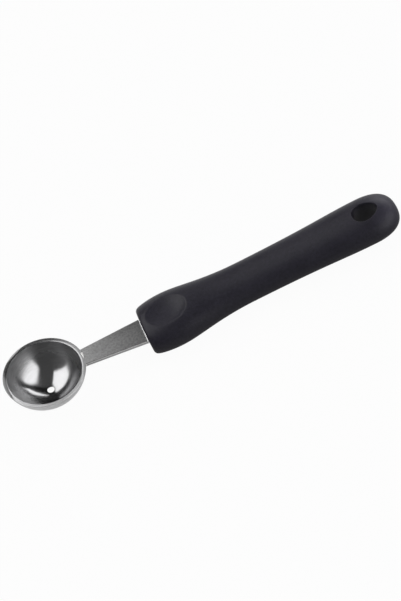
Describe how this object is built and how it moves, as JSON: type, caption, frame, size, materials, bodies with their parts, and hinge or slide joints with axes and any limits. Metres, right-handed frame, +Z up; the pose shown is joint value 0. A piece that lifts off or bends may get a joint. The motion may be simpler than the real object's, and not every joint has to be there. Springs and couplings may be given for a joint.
{
  "type": "melon baller",
  "caption": "Hand scoop for fruit balls: a deep-drawn steel cup with a drain hole, on a flat tapered strip shank set in an oval moulded handle with a thumb rest and a hang hole.",
  "frame": {"origin": "on the ground below the middle of the tool, which lies on its back with the scoop's mouth up", "axes": "+X along the handle from the scoop to the tail, +Z up out of the scoop's mouth, +Y across the tool"},
  "size_m": [0.151, 0.03, 0.0141],
  "materials": {
    "scoop_steel": "polished inside, brushed in rings outside, ground rim",
    "strip_steel": "fine satin, slightly mottled, with blanked edges",
    "weld_steel": "lightly dressed weld",
    "handle_plastic": "matt black with a fine moulded grain"
  },
  "bodies": {
    "root": {"scoop_bowl": "scoop_steel", "shank": "strip_steel", "weld_bead": "weld_steel", "handle": "handle_plastic"}
  },
  "joints": []
}
